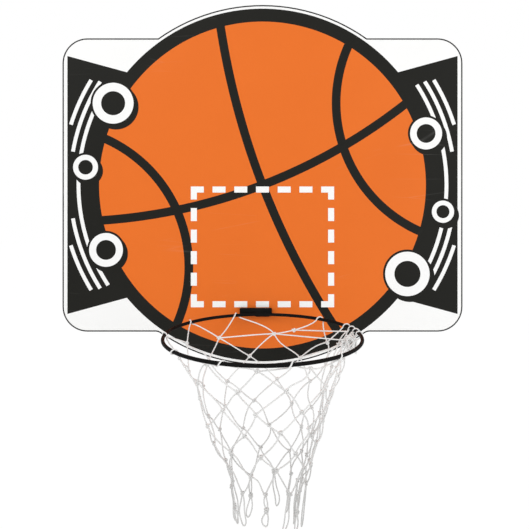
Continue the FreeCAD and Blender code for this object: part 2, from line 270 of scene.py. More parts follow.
def makeTintGroup():
    # slow and fine variation of one colour
    values = tintValues
    group, given, made = newGroup(
        "tintDrift",
        [
            ("Colour", "NodeSocketColor", (0.5, 0.5, 0.5, 1)),
            ("Other Colour", "NodeSocketColor", (0.4, 0.4, 0.4, 1)),
            ("Patch Scale", "NodeSocketFloat", 8.0),
            ("Speck Scale", "NodeSocketFloat", 900.0),
            ("Strength", "NodeSocketFloat", 0.4),
        ],
        [("Colour", "NodeSocketColor")],
    )
    place = objectPlace(group)
    patch = addNoise(group, place, given["Patch Scale"], values["patchDetail"])
    speck = addNoise(group, place, given["Speck Scale"], values["speckDetail"])
    patchPart = addMath(group, "MULTIPLY", patch, values["patchShare"])
    speckPart = addMath(group, "MULTIPLY", speck, values["speckShare"])
    drift = addRange(group, addMath(group, "ADD", patchPart, speckPart), values["edges"])
    share = addMath(group, "MULTIPLY", drift, given["Strength"])
    group.links.new(addMix(group, share, given["Colour"], given["Other Colour"]), made["Colour"])
    return group


scuffValues = {
    "stretch": (0.25, 1, 3.0),
    "turn": 0.5,
    "lineWidth": 0.012,
    # where the lines are: noise scale and detail, then where they start and where they are full
    "spotScale": 9.0,
    "spotDetail": 3.0,
    "spotEdges": (0.56, 0.72),
    "smearScale": 5.0,
    "smearDetail": 5.0,
    "smearRoughness": 0.65,
    "smearEdges": (0.4, 0.75),
}


def makeScuffGroup():
    # thin rubbed lines and faint smears, each as a mask
    values = scuffValues
    group, given, made = newGroup(
        "handlingScuffs",
        [("Scale", "NodeSocketFloat", 14.0), ("Amount", "NodeSocketFloat", 0.3)],
        [("Scuff", "NodeSocketFloat"), ("Smear", "NodeSocketFloat")],
    )
    place = objectPlace(group)
    lines = group.nodes.new("ShaderNodeTexVoronoi")
    lines.feature = "DISTANCE_TO_EDGE"
    stretched = addMapping(group, place, values["stretch"], values["turn"])
    group.links.new(stretched, lines.inputs["Vector"])
    group.links.new(given["Scale"], lines.inputs["Scale"])
    thin = addRange(group, lines.outputs["Distance"], (0.0, values["lineWidth"]), (1.0, 0.0))
    spots = addNoise(group, place, values["spotScale"], values["spotDetail"])
    spotted = addMath(group, "MULTIPLY", thin, addRange(group, spots, values["spotEdges"]))
    group.links.new(addMath(group, "MULTIPLY", spotted, given["Amount"]), made["Scuff"])
    smears = addNoise(group, place, values["smearScale"], values["smearDetail"], values["smearRoughness"])
    group.links.new(addRange(group, smears, values["smearEdges"]), made["Smear"])
    return group


grainValues = {"detail": 2.0}


def makeGrainGroup():
    # height of a fine surface grain, with a slow swell under it
    group, given, made = newGroup(
        "surfaceGrain",
        [
            ("Fine Scale", "NodeSocketFloat", 1500.0),
            ("Swell Scale", "NodeSocketFloat", 60.0),
            ("Swell Share", "NodeSocketFloat", 0.3),
        ],
        [("Height", "NodeSocketFloat")],
    )
    place = objectPlace(group)
    fine = addNoise(group, place, given["Fine Scale"], grainValues["detail"])
    swell = addNoise(group, place, given["Swell Scale"], grainValues["detail"])
    swellPart = addMath(group, "MULTIPLY", swell, given["Swell Share"])
    group.links.new(addMath(group, "ADD", fine, swellPart), made["Height"])
    return group


tintGroup = makeTintGroup()
scuffGroup = makeScuffGroup()
grainGroup = makeGrainGroup()


def placeGroup(tree, group, values):
    node = tree.nodes.new("ShaderNodeGroup")
    node.node_tree = group
    for label, value in values.items():
        setSocket(tree, node.inputs[label], value)
    return node.outputs


# finishes: each has a drifting tint, a fine grain, and what is even all over it
# bump is the grain's strength and height, smears the roughness from unsmeared to smeared

def startFinish(name, values):
    material, tree, shader = newMaterial(name)
    for label, value in values["even"].items():
        shader.inputs[label].default_value = value
    grain = placeGroup(tree, grainGroup, values["grain"])
    bump = tree.nodes.new("ShaderNodeBump")
    strength, height = values["bump"]
    bump.inputs["Strength"].default_value = strength
    bump.inputs["Distance"].default_value = height
    tree.links.new(grain["Height"], bump.inputs["Height"])
    tree.links.new(bump.outputs["Normal"], shader.inputs["Normal"])
    return material, tree, shader


def addTint(tree, values):
    return placeGroup(tree, tintGroup, values)["Colour"]


def addSmears(tree, shader, scuff, limits):
    rough = addRange(tree, scuff["Smear"], (0.0, 1.0), limits)
    tree.links.new(rough, shader.inputs["Roughness"])


def scuffedFinish(name, values):
    # rubbed lines over the tint, and smears where the finish has them
    material, tree, shader = startFinish(name, values)
    scuff = placeGroup(tree, scuffGroup, values["scuff"])
    rubbed = addMix(tree, scuff["Scuff"], addTint(tree, values["tint"]), values["rubbed"])
    tree.links.new(rubbed, shader.inputs["Base Color"])
    if "smears" in values:
        addSmears(tree, shader, scuff, values["smears"])
    return material


inkFinish = {
    "tint": {"Patch Scale": 11.0, "Speck Scale": 1400.0},
    "scuff": {"Scale": 16.0, "Amount": 0.09},
    "rubbed": (0.7, 0.69, 0.67),
    "smears": (0.36, 0.48),
    "grain": {"Fine Scale": 1800.0, "Swell Scale": 120.0, "Swell Share": 0.5},
    "bump": (0.06, 0.0002),
}
# what each ink has of its own
inkColours = {
    "whiteInk": {
        "tint": {"Colour": (0.93, 0.93, 0.92), "Other Colour": (0.88, 0.88, 0.87), "Strength": 0.35},
        "even": {"Specular IOR Level": 0.35},
    },
    "orangeInk": {
        "tint": {"Colour": (0.80, 0.165, 0.018), "Other Colour": (0.74, 0.145, 0.014), "Strength": 0.45},
        "even": {"Specular IOR Level": 0.18},
    },
    "blackInk": {
        "tint": {"Colour": (0.009, 0.009, 0.007), "Other Colour": (0.014, 0.0135, 0.011), "Strength": 0.6},
        "even": {"Specular IOR Level": 0.12},
    },
}


def inkMaterial(name):
    own = inkColours[name]
    tint = {**inkFinish["tint"], **own["tint"]}
    return scuffedFinish(name, {**inkFinish, **own, "tint": tint})


steelFinish = {
    "tint": {
        "Colour": (0.004, 0.004, 0.004), "Other Colour": (0.012, 0.012, 0.012),
        "Patch Scale": 30.0, "Speck Scale": 2500.0, "Strength": 0.35,
    },
    "scuff": {"Scale": 60.0, "Amount": 0.3},
    "rubbed": (0.25, 0.24, 0.23),
    "smears": (0.58, 0.74),
    "grain": {"Fine Scale": 1100.0, "Swell Scale": 300.0, "Swell Share": 0.8},
    "bump": (0.12, 0.0003),
    "even": {"Specular IOR Level": 0.06},
}

stripFinish = {
    "tint": {
        "Colour": (0.010, 0.010, 0.010), "Other Colour": (0.02, 0.02, 0.02),
        "Patch Scale": 40.0, "Speck Scale": 1500.0, "Strength": 0.6,
    },
    "scuff": {"Scale": 45.0, "Amount": 0.35},
    "rubbed": (0.3, 0.3, 0.29),
    "grain": {"Fine Scale": 1400.0, "Swell Scale": 200.0, "Swell Share": 0.4},
    "bump": (0.15, 0.0002),
    "even": {"Roughness": 0.6, "Specular IOR Level": 0.2},
}

zincFinish = {
    "tint": {
        "Colour": (0.60, 0.605, 0.62), "Other Colour": (0.36, 0.37, 0.39),
        "Patch Scale": 180.0, "Speck Scale": 3000.0, "Strength": 0.7,
    },
    "streak": (0.24, 0.245, 0.255),
    "rolling": (1, 1, 0.03),  # the plate is rolled lengthways
    "streakScale": 2200.0,
    "streakDetail": 3.0,
    "streakEdges": (0.45, 0.75),
    "streakShares": (0.0, 0.7),
    "smears": (0.22, 0.42),
    "grain": {"Fine Scale": 2600.0, "Swell Scale": 500.0, "Swell Share": 0.6},
    "bump": (0.15, 0.0002),
    "even": {"Metallic": 1.0},
}


def zincPlate():
    values = zincFinish
    material, tree, shader = startFinish("zincPlatedSteel", values)
    lengthways = addMapping(tree, objectPlace(tree), values["rolling"])
    rolled = addNoise(tree, lengthways, values["streakScale"], values["streakDetail"])
    streaks = addRange(tree, rolled, values["streakEdges"], values["streakShares"])
    streaked = addMix(tree, streaks, addTint(tree, values["tint"]), values["streak"])
    tree.links.new(streaked, shader.inputs["Base Color"])
    addSmears(tree, shader, placeGroup(tree, scuffGroup, {}), values["smears"])
    return material


boardFinish = {
    "tint": {
        "Colour": (0.37, 0.235, 0.125), "Other Colour": (0.50, 0.345, 0.205),
        "Patch Scale": 420.0, "Speck Scale": 1600.0, "Strength": 0.85,
    },
    # short fibres lying every way: stretch, turn and colour of each layer
    "fibres": [
        ((0.3, 1, 1), 0.9, (0.16, 0.09, 0.045)),
        ((1, 1, 0.3), 3.0, (0.16, 0.09, 0.045)),
        ((0.4, 1, 1), 1.2, (0.50, 0.345, 0.205)),
    ],
    "fibreScale": 1300.0,
    "fibreDetail": 2.0,
    "fibreEdges": (0.60, 0.72),
    "fibreShares": (0.0, 0.6),
    "grain": {"Fine Scale": 1200.0, "Swell Scale": 90.0, "Swell Share": 0.4},
    "bump": (0.3, 0.0003),
    "even": {"Roughness": 0.82, "Specular IOR Level": 0.25},
}


def pressedBoard():
    values = boardFinish
    material, tree, shader = startFinish("pressedFibreBoard", values)
    place = objectPlace(tree)
    colour = addTint(tree, values["tint"])
    for stretch, turn, fibreColour in values["fibres"]:
        lying = addMapping(tree, place, stretch, turn)
        noise = addNoise(tree, lying, values["fibreScale"], values["fibreDetail"])
        strands = addRange(tree, noise, values["fibreEdges"], values["fibreShares"])
        colour = addMix(tree, strands, colour, fibreColour)
    tree.links.new(colour, shader.inputs["Base Color"])
    return material


twineFinish = {
    "tint": {"Patch Scale": 70.0, "Speck Scale": 4000.0, "Strength": 0.55},
    # the twine's colour at the top of the net, and the darker painted shade it turns to lower down
    "unshaded": {"Colour": (0.93, 0.928, 0.918), "Other Colour": (0.84, 0.838, 0.828)},
    "paintedShade": {"Colour": (0.74, 0.738, 0.728), "Other Colour": (0.55, 0.548, 0.538)},
    "paintedShadeHeights": (-0.146, -0.275),  # heights between which painted shade darkens the net towards the bottom
    "grain": {"Fine Scale": 5200.0, "Swell Scale": 1800.0, "Swell Share": 0.5},
    "bump": (0.35, 0.0001),
    "even": {"Roughness": 0.7, "Sheen Weight": 0.25, "Sheen Roughness": 0.4, "Specular IOR Level": 0.3},
}


def nettingTwine():
    values = twineFinish
    material, tree, shader = startFinish("whiteNettingTwine", values)
    unshaded = addTint(tree, {**values["tint"], **values["unshaded"]})
    paintedShade = addTint(tree, {**values["tint"], **values["paintedShade"]})
    parted = tree.nodes.new("ShaderNodeSeparateXYZ")
    tree.links.new(objectPlace(tree), parted.inputs[0])
    # painted shade: the twine is darker towards the bottom of the net
    shadeShare = addRange(tree, parted.outputs["Z"], values["paintedShadeHeights"])
    tree.links.new(addMix(tree, shadeShare, unshaded, paintedShade), shader.inputs["Base Color"])
    return material


inks = {name: inkMaterial(name) for name in inkColours}
blackSteel = scuffedFinish("blackPaintedSteel", steelFinish)
zinc = zincPlate()
fibreBoard = pressedBoard()
darkStrip = scuffedFinish("darkEdgeStrip", stripFinish)
twineWhite = nettingTwine()
print("finishes made")


# modelling steps

def deselectAll():
    if bpy.context.object and bpy.context.object.mode != "OBJECT":
        bpy.ops.object.mode_set(mode="OBJECT")
    bpy.ops.object.select_all(action="DESELECT")


def pick(*pieces):
    deselectAll()
    for piece in pieces:
        piece.select_set(True)
    bpy.context.view_layer.objects.active = pieces[0]


def applyPlace():
    bpy.ops.object.transform_apply(location=True, rotation=True, scale=True)


def joinPieces(name, pieces):
    pick(*pieces)
    if len(pieces) > 1:
        bpy.ops.object.join()
    joined = bpy.context.object
    joined.name = name
    joined.data.name = name
    applyPlace()
    return joined


def newRod(name, radius, roundness):
    # a curve whose lines are round rods with closed ends
    curve = bpy.data.curves.new(name, "CURVE")
    curve.dimensions = "3D"
    curve.bevel_depth = radius
    curve.bevel_resolution = roundness
    curve.use_fill_caps = True
    return curve


def rodMesh(curve):
    piece = bpy.data.objects.new(curve.name, curve)
    bpy.context.scene.collection.objects.link(piece)
    pick(piece)
    bpy.ops.object.convert(target="MESH")
    bpy.ops.object.shade_smooth()
    return bpy.context.object


def dress(piece, material):
    piece.data.materials.clear()
    piece.data.materials.append(material)


def finishPiece(piece, material, body="board", replaced=()):
    dress(piece, material)
    if replaced:
        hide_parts(*replaced)
    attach(piece, body)


# printed face: thin layers of ink on the white sheet, each a closed film

inkStep = 0.00003  # thickness of one layer
# the layers between which each part of the print lies
printLevels = {
    "fields": (0, 1),
    "rim": (0, 2),
    "echoes": (1, 2),
    "ball": (2, 3),
    "seams": (3, 4),
    "crossSeam": (3, 5),
    "shadows": (5, 6),
    "outlines": (6, 7),
    "rings": (7, 8),
    "target": (7, 8),
}


def levelPlace(level, x, z):
    return (x, sheetFront - printLevels[level][0] * inkStep, z)


def raiseFilm(level):
    # gives the flat shape in edit mode its thickness, out from the sheet
    low, high = printLevels[level]
    bpy.ops.mesh.select_all(action="SELECT")
    bpy.ops.mesh.extrude_region_move(TRANSFORM_OT_translate={"value": (0, -(high - low) * inkStep, 0)})
    bpy.ops.mesh.select_all(action="SELECT")
    bpy.ops.mesh.normals_make_consistent(inside=False)
    bpy.ops.object.mode_set(mode="OBJECT")
    return bpy.context.object


def pickPoints(piece, chosen):
    # selects the points of the piece that chosen picks by their place, and nothing else
    bpy.ops.object.mode_set(mode="EDIT")
    bpy.ops.mesh.select_mode(type="VERT")
    bpy.ops.mesh.select_all(action="DESELECT")
    bpy.ops.object.mode_set(mode="OBJECT")
    for point in piece.data.vertices:
        point.select = chosen(point.co)


def addCircle(level, x, z, radius, sides, fill):
    deselectAll()
    bpy.ops.mesh.primitive_circle_add(
        vertices=sides, radius=radius, fill_type=fill, location=levelPlace(level, x, z), rotation=upright,
    )
    applyPlace()
    return bpy.context.object


def inkDisc(level, x, z, radius, sides, hole=0.0):
    addCircle(level, x, z, radius, sides, "NGON")
    bpy.ops.object.mode_set(mode="EDIT")
    bpy.ops.mesh.select_all(action="SELECT")
    if hole:
        bpy.ops.mesh.inset(thickness=radius - hole)
        bpy.ops.mesh.delete(type="FACE")
    return raiseFilm(level)


def inkArc(level, x, z, radius, width, sides, middle, reach):
    # part of a ring about (x, z): radius to its middle line, reach degrees to each side of middle
    inner = radius - width / 2
    arc = addCircle(level, x, z, inner, sides, "NOTHING")

    def outsideReach(place):
        turn = math.degrees(math.atan2(place.z - z, place.x - x)) - middle
        return abs((turn + 180) % 360 - 180) > reach

    pickPoints(arc, outsideReach)
    bpy.ops.object.mode_set(mode="EDIT")
    bpy.ops.mesh.delete(type="VERT")
    bpy.ops.mesh.select_all(action="SELECT")
    bpy.ops.mesh.extrude_edges_move()
    bpy.ops.transform.resize(value=((inner + width) / inner,) * 3, center_override=levelPlace(level, x, z))
    return raiseFilm(level)


def inkBar(level, x, z, width, height):
    deselectAll()
    bpy.ops.mesh.primitive_plane_add(size=1, location=levelPlace(level, x, z), rotation=upright)
    bpy.context.object.scale = (width, height, 1)
    applyPlace()
    bpy.ops.object.mode_set(mode="EDIT")
    return raiseFilm(level)


def finishPrint(name, films, ink):
    finishPiece(joinPieces(name, films), inks[ink])


fieldPrint = {
    "outerEdge": 0.2195,
    "innerEdge": 0.12,
    "halfHeight": 0.118,  # at the inner edge; the fields open outwards
    "spread": 1.23,
    # white echo lines round the ball: radius, then from and to in degrees
    "echoes": [(0.2070, 0, 33.5), (0.2165, 9.5, 33), (0.2260, 17.5, 31.5)],
    "echoWidth": 0.0042,
    "echoSides": 720,
}


def printFields():
    values = fieldPrint
    width = values["outerEdge"] - values["innerEdge"]
    middle = (values["outerEdge"] + values["innerEdge"]) / 2
    fields = []
    for side in (-1, 1):
        field = inkBar("fields", side * middle, 0, width, 2 * values["halfHeight"])
        pickPoints(field, lambda place: place.x * side > middle)
        bpy.ops.object.mode_set(mode="EDIT")
        centre = (side * middle, sheetFront, 0)
        bpy.ops.transform.resize(value=(1, 1, values["spread"]), center_override=centre)
        bpy.ops.object.mode_set(mode="OBJECT")
        fields.append(field)
    finishPrint("sideFieldPrint", fields, "blackInk")
    lines = []
    for radius, start, end in values["echoes"]:
        line = (radius, values["echoWidth"], values["echoSides"])
        midway, half = (start + end) / 2, (end - start) / 2
        spans = [(-midway, half), (midway, half)] if start else [(0, end)]
        for side in (0, 180):
            for turn, reach in spans:
                lines.append(inkArc("echoes", 0, 0, *line, side + turn, reach))
    finishPrint("echoLinePrint", lines, "whiteInk")


ballPrint = {
    "rimRadius": 0.1984,
    "rimWidth": 0.0146,
    "underlap": 0.0006,
    "sides": 256,
    "seamWidth": 0.0098,
    "seamReach": 0.191,  # seams end inside the rim
    "seamSteps": 48,  # points in half a seam
    "tilt": 21.0,
    # each seam is an arc: level, way to its centre in degrees, distance of the centre, radius
    "seams": [
        ("seams", 0, 0.86, 0.86),
        ("crossSeam", 90, 0.62, 0.62),
        ("seams", 0, 0.258, 0.158),
        ("seams", 180, 0.258, 0.158),
    ],
}


def printBall():
    values = ballPrint
    inner = values["rimRadius"] - values["rimWidth"]
    rim = inkDisc("rim", 0, 0, values["rimRadius"], values["sides"], inner - values["underlap"])
    finishPrint("ballRimPrint", [rim], "blackInk")
    ball = inkDisc("ball", 0, 0, inner, values["sides"])
    finishPrint("ballPrint", [ball], "orangeInk")
    reach = values["seamReach"]
    arcs = []
    for level, way, distance, radius in values["seams"]:
        way += values["tilt"]
        x, z = distance * math.cos(math.radians(way)), distance * math.sin(math.radians(way))
        half = math.degrees(math.acos((distance**2 + radius**2 - reach**2) / (2 * distance * radius)))
        sides = int(360 / half * values["seamSteps"])
        arcs.append(inkArc(level, x, z, radius, values["seamWidth"], sides, way + 180, half))
    finishPrint("ballSeamPrint", arcs, "blackInk")


ringPrint = {
    "bandShare": 0.0095 / 0.023,  # width of a ring against its outer radius
    "outline": 0.0024,
    "shadowSlip": (0.0032, -0.0042),
    "sides": 72,
    # x, z, outer radius of each white ring
    "rings": [
        (-0.168, 0.092, 0.023),
        (-0.199, 0.020, 0.014),
        (-0.176, -0.073, 0.019),
        (0.184, 0.058, 0.018),
        (0.163, -0.100, 0.025),
        (0.203, -0.030, 0.0125),
    ],
}


def printRings():
    values = ringPrint
    slipX, slipZ = values["shadowSlip"]
    sides = values["sides"]
    shadows, outlines, faces = [], [], []
    for x, z, radius in values["rings"]:
        wide = radius + values["outline"]
        shadows.append(inkDisc("shadows", x + slipX, z + slipZ, wide, sides))
        outlines.append(inkDisc("outlines", x, z, wide, sides))
        faces.append(inkDisc("rings", x, z, radius, sides, radius * (1 - values["bandShare"])))
    finishPrint("ringShadowPrint", shadows, "blackInk")
    finishPrint("ringOutlinePrint", outlines, "blackInk")
    finishPrint("ringPrint", faces, "whiteInk")


targetPrint = {
    "width": 0.1612,
    "height": 0.1358,
    "middle": -0.0696,
    "stroke": 0.0068,
    "dash": 0.0146,
    "across": 7,  # dashes in each side
    "down": 6,
}


def printTarget():
    values = targetPrint
    dash, stroke = values["dash"], values["stroke"]
    stepAcross = (values["width"] - dash) / (values["across"] - 1)
    stepDown = (values["height"] - dash) / (values["down"] - 1)
    left, top = -values["width"] / 2, values["middle"] + values["height"] / 2
    dashes = []
    for side in (top - stroke / 2, top - values["height"] + stroke / 2):
        for number in range(values["across"]):
            dashes.append(inkBar("target", left + dash / 2 + number * stepAcross, side, dash, stroke))
    for side in (left + stroke / 2, left + values["width"] - stroke / 2):
        for number in range(values["down"]):
            z = top - dash / 2 - number * stepDown
            length = dash
            if number == 0:  # the corner's square is already in the dash across
                length, z = dash - stroke, z - stroke / 2
            elif number == values["down"] - 1:
                length, z = dash - stroke, z + stroke / 2
            dashes.append(inkBar("target", side, z, stroke, length))
    finishPrint("targetPrint", dashes, "whiteInk")


printFields()
printBall()
printRings()
printTarget()
print("face printed")


# twine: three plies wound round the line of a cord

twineValues = {
    "radius": 0.00074,
    "plies": 3,
    "plyShare": 0.6,  # radius of one ply against the cord's
    "plyRoundness": 0,
    "pitch": 0.0050,  # length of one twist
    "sampleStep": 0.00062,
    "fewestSteps": 4,
    "firstSide": (0.31, 0.57, 0.76),  # a way that no cord starts along
}
netRandom = random.Random(11)


def curvePoints(start, startWay, end, endWay):
    # points of one smooth cord from start to end, leaving and arriving along the given ways
    count = max(twineValues["fewestSteps"], int((end - start).length / twineValues["sampleStep"]))
    points = []
    for number in range(count + 1):
        t = number / count
        a, b = (1 - t) ** 3, 3 * t * (1 - t) ** 2
        c, d = 3 * t * t * (1 - t), t**3
        points.append(start * a + (start + startWay) * b + (end - endWay) * c + end * d)
    return points


def evenPoints(points, closed):
    # the same line with its points one sample step apart
    ring = points + points[:1] if closed else points
    lengths = [0.0]
    for first, second in zip(ring, ring[1:]):
        lengths.append(lengths[-1] + (second - first).length)
    count = max(twineValues["fewestSteps"], round(lengths[-1] / twineValues["sampleStep"]))
    made, place = [], 0
    for number in range(count + (0 if closed else 1)):
        wanted = lengths[-1] * number / count
        while place < len(lengths) - 2 and lengths[place + 1] < wanted:
            place += 1
        gap = max(lengths[place + 1] - lengths[place], 1e-9)  # never divides by nothing
        made.append(ring[place].lerp(ring[place + 1], min(1.0, (wanted - lengths[place]) / gap)))
    return made, lengths[-1]


def layTwine(curve, points, closed=False, phase=0.0):
    # winds the plies of one cord round its line
    line, length = evenPoints(points, closed)
    plies = twineValues["plies"]
    swing = twineValues["radius"] - curve.bevel_depth
    turnsTotal = length / twineValues["pitch"]
    if closed:
        turnsTotal = max(1, round(turnsTotal))
    count = len(line)
    side = Vector(twineValues["firstSide"])
    sides, aheads = [], []
    for number in range(count):
        before = line[number - 1] if closed or number else line[0]
        after = line[(number + 1) % count] if closed or number < count - 1 else line[-1]
        ahead = (after - before).normalized()
        side = (side - ahead * side.dot(ahead)).normalized()
        sides.append(side.copy())
        aheads.append(ahead)
    slack = 0.0
    if closed:  # spread the frame's own turn round the ring so that the plies meet
        last = sides[-1] - aheads[0] * sides[-1].dot(aheads[0])
        slack = math.atan2(sides[0].cross(last).dot(aheads[0]), sides[0].dot(last))
    for ply in range(plies):
        spline = curve.splines.new("POLY")
        spline.points.add(count - 1)
        spline.use_cyclic_u = closed
        for number in range(count):
            share = number / (count if closed else count - 1)
            turn = phase + math.tau * (turnsTotal * share + ply / plies) - slack * share
            out = sides[number] * math.cos(turn) + aheads[number].cross(sides[number]) * math.sin(turn)
            spline.points[number].co = (*(line[number] + out * swing), 1)


def newTwine(name):
    return newRod(name, twineValues["radius"] * twineValues["plyShare"], twineValues["plyRoundness"])


def twineMesh(curve, replaced):
    piece = rodMesh(curve)
    dress(piece, twineWhite)
    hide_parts(replaced)
    return piece


def anyPhase():
    return netRandom.uniform(0, math.tau)


def stray(amount):
    return Vector([netRandom.gauss(0, amount) for _ in range(3)])


# net: twine laid over the hoop, seven rows of knots and twelve end loops

netValues = {
    # places of the turns on the wire, in shares of a turn from +X towards the board
    "hitchTurns": [0.012, 0.030, 0.048, 0.066, 0.135, 0.299, 0.397, 0.493, 0.600, 0.693, 0.790, 0.873],
    # shares of the hoop's radius, at the wire and at each row of knots
    "rowRadii": [1.0, 0.85, 0.75, 0.67, 0.60, 0.525, 0.45, 0.385],
    "lengths": {"netUpper": (1, 2), "netMiddle": (3, 4), "netTail": (5, 7)},  # first and last row of each
    "sharedRows": (2, 4),  # rows where one length hands over to the next
    "wander": 0.0022,  # how far a knot strays from its even place
    "wanderInwards": 0.6,  # shares of that inwards, downwards, and downwards in a shared row
    "wanderDown": 0.8,
    "sharedCalm": 0.5,
    "slip": 0.005,  # the tail hangs a little to the right
    "tilt": (0.0045, 0.0070),  # the rows hang higher in front than at the board, the last ones most
    "bow": 0.00242,  # how far a cord is pulled aside between its knots
    "leavingShare": 0.5,  # how stiffly a cord leaves the wire
    "spare": 0.0080,  # bends start this far below a shared row, so that its knots stay whole
}


def netRowHeights():
    second, fourth = joints["net_swing"].z, joints["tail_swing"].z
    step = (second - fourth) / 2
    heights = [hoopMiddle.z, second + step, second, second - step]
    return heights + [fourth, fourth - step, fourth - 2 * step, fourth - 3 * step]


def outwardAt(place):
    return Vector((place.x - hoopMiddle.x, place.y - hoopMiddle.y, 0)).normalized()


def netKnots():
    values = netValues
    turns = values["hitchTurns"]
    heights = netRowHeights()
    span = heights[0] - heights[-1]
    firstTilt, lastTilt = values["tilt"]
    rows = []
    for number, (share, height) in enumerate(zip(values["rowRadii"], heights)):
        row = []
        depth = (heights[0] - height) / span
        wander = values["wander"] if number else 0.0
        calm = values["sharedCalm"] if number in values["sharedRows"] else 1.0
        for turn in turns:
            angle = math.tau * turn + netRandom.gauss(0, wander) / (hoopRadius * share)
            radius = hoopRadius * share + netRandom.gauss(0, wander * values["wanderInwards"])
            drop = netRandom.gauss(0, wander * values["wanderDown"]) * calm
            across = radius * math.cos(angle) + values["slip"] * depth
            place = hoopMiddle + Vector((across, radius * math.sin(angle), 0))
            place.z = height + drop
            if number:
                place.z -= (firstTilt + (lastTilt - firstTilt) * depth) * math.sin(angle)
            row.append(place)
        rows.append(row)
        turns = [(turn + after) / 2 for turn, after in zip(turns, turns[1:] + [turns[0] + 1])]
    return rows


def layStrand(curve, upper, lower, leaving=None):
    # one cord between two knots, or from where it is leaving the wire
    way = (lower - upper) / 3
    bow = netValues["bow"]
    start = leaving * way.length * netValues["leavingShare"] if leaving else way + stray(bow)
    points = curvePoints(upper, start, lower, way + stray(bow))
    layTwine(curve, points, phase=anyPhase())
    return points


knotValues = {
    "size": 0.00125,
    "sizes": (0.92, 1.1),  # shares of that size, from knot to knot
    "lean": 0.5,
    "steps": 48,
    "breadth": 0.52,  # shares of the size across, upwards against that, and out from the net
    "height": 0.9,
    "depth": 0.75,
}


def layKnot(curve, place, out):
    # a small over-and-under knot, drawn tight
    values = knotValues
    up = Vector((0, 0, 1))
    across = out.cross(up).normalized()
    lean = netRandom.uniform(-values["lean"], values["lean"])
    size = values["size"] * netRandom.uniform(*values["sizes"])
    points = []
    for number in range(values["steps"]):
        t = math.tau * number / values["steps"]
        u = math.sin(t) + 2 * math.sin(2 * t)
        v = math.cos(t) - 2 * math.cos(2 * t)
        w = -math.sin(3 * t)
        flatU = u * math.cos(lean) - v * math.sin(lean)
        flatV = u * math.sin(lean) + v * math.cos(lean)
        flat = (across * flatU + up * flatV * values["height"]) * size * values["breadth"]
        points.append(place + flat + out * w * size * values["depth"])
    layTwine(curve, points, closed=True)


hitchValues = {
    "width": 0.0070,  # how far a turn of cord runs along the wire
    "turn": (-80, 190),  # degrees about the wire, from its outer side upwards
    "lyingShare": 1.06,  # how far the cord lies off the wire, against its radius
    "steps": 24,
}


def wirePoint(share, turn, reach):
    # a point beside the wire: share of the hoop's turn, turn about the wire, reach from its middle
    out = Vector((math.cos(math.tau * share), math.sin(math.tau * share), 0))
    aside = out * math.cos(turn) + Vector((0, 0, math.sin(turn)))
    return hoopMiddle + out * hoopRadius + aside * reach


def layHitch(curve, middle):
    # one slanting turn of cord over the wire: up outside it, over and down inside it
    start, end = hitchValues["turn"]
    around = wireRadius + twineValues["radius"] * hitchValues["lyingShare"]
    half = hitchValues["width"] / hoopRadius / math.tau / 2
    points = []
    for number in range(hitchValues["steps"] + 1):
        t = number / hitchValues["steps"]
        turn = math.radians(start + (end - start) * t)
        points.append(wirePoint(middle + half * (2 * t - 1), turn, around))
    layTwine(curve, points, phase=anyPhase())
    return points


endLoopValues = {
    "drop": 0.038,
    "drops": (0.82, 1.1),  # shares of the drop, width and lean, from loop to loop
    "width": 0.0060,
    "widths": (0.75, 1.2),
    "lean": 0.0055,
    "leans": (0.6, 1.4),
    "pairing": 0.0025,  # every two loops lean together
    "unevenness": 0.0015,
    "turn": 0.7,
    "flare": (0.35, 0.95),  # width at the knot, and what it gains on the way down
    "wave": 0.0014,
    "waves": 2.4,
    "steps": 40,
    "tieDepth": 0.5,  # share of a loop's drop where a knot draws its legs together
    "tieGrip": 0.75,
    "tieReach": 0.2,
    "tieStep": 0.0018,  # from one knot of a tie to the next
}


def layEndLoop(curve, knot, out, side, tied):
    # a narrow loop that hangs from the last knot and leans to one side; a tied one is drawn in
    values = endLoopValues
    along = Vector((-out.y, out.x, 0))
    lean = -out * values["lean"] * netRandom.uniform(*values["leans"])
    lean += along * (side * values["pairing"] + netRandom.gauss(0, values["unevenness"]))
    drop = (values["drop"] - twineValues["radius"]) * netRandom.uniform(*values["drops"])
    half = values["width"] / 2 * netRandom.uniform(*values["widths"])
    turnAside = (along + out * netRandom.uniform(-values["turn"], values["turn"])).normalized()
    phase = anyPhase()
    atKnot, gain = values["flare"]
    points = []
    for number in range(values["steps"] + 1):
        t = number / values["steps"]
        depth = (1 - math.cos(math.tau * t)) / 2
        wide = half * math.sin(math.tau * t) * (atKnot + gain * depth)
        if tied:
            fromTie = (depth - values["tieDepth"]) / values["tieReach"]
            wide *= 1 - values["tieGrip"] * math.exp(-fromTie * fromTie)
        wave = along * values["wave"] * math.sin(phase + math.pi * values["waves"] * depth) * depth
        points.append(knot + Vector((0, 0, -drop * depth)) + lean * depth + turnAside * wide + wave)
    layTwine(curve, points, phase=anyPhase())
    return points


def layTie(curve, points):
    # two knots that hold the legs of an end loop together
    step = round(math.acos(1 - 2 * endLoopValues["tieDepth"]) / math.tau * (len(points) - 1))
    place = points[step].lerp(points[-1 - step], 0.5)
    for number in (-1, 1):
        spot = place + Vector((0, 0, number * endLoopValues["tieStep"] / 2))
        layKnot(curve, spot, outwardAt(spot))


bunchValues = {
    "hitches": 4,  # turns at the start that are drawn together
    "reach": 0.004,  # middle of the bunch, in from the wire and then aside
    "slip": (0.0015, -0.008, -0.0085),
    "topSlip": (-0.004, 0.006, 0.008),
    "loops": 8,  # loops and knots of slack, and those laid over them last
    "knots": 4,
    "lateLoops": 8,
    "lateKnots": 2,
    "width": (0.0025, 0.0068),
    "height": (0.0040, 0.0086),
    "aside": ((0.5, 1), (-0.8, 0.8), (-0.7, 0.7)),  # the way a loop lies
    "spread": 0.0032,
    "ripple": (0.1, 0.3),
    "depth": 0.0012,
    "steps": 36,
    "facing": (0.3, -1, 0),  # the way its knots look
    "ropeShare": 0.62,  # how far down its cord the drawn cord is tied
    "drawnBow": 0.0006,
}


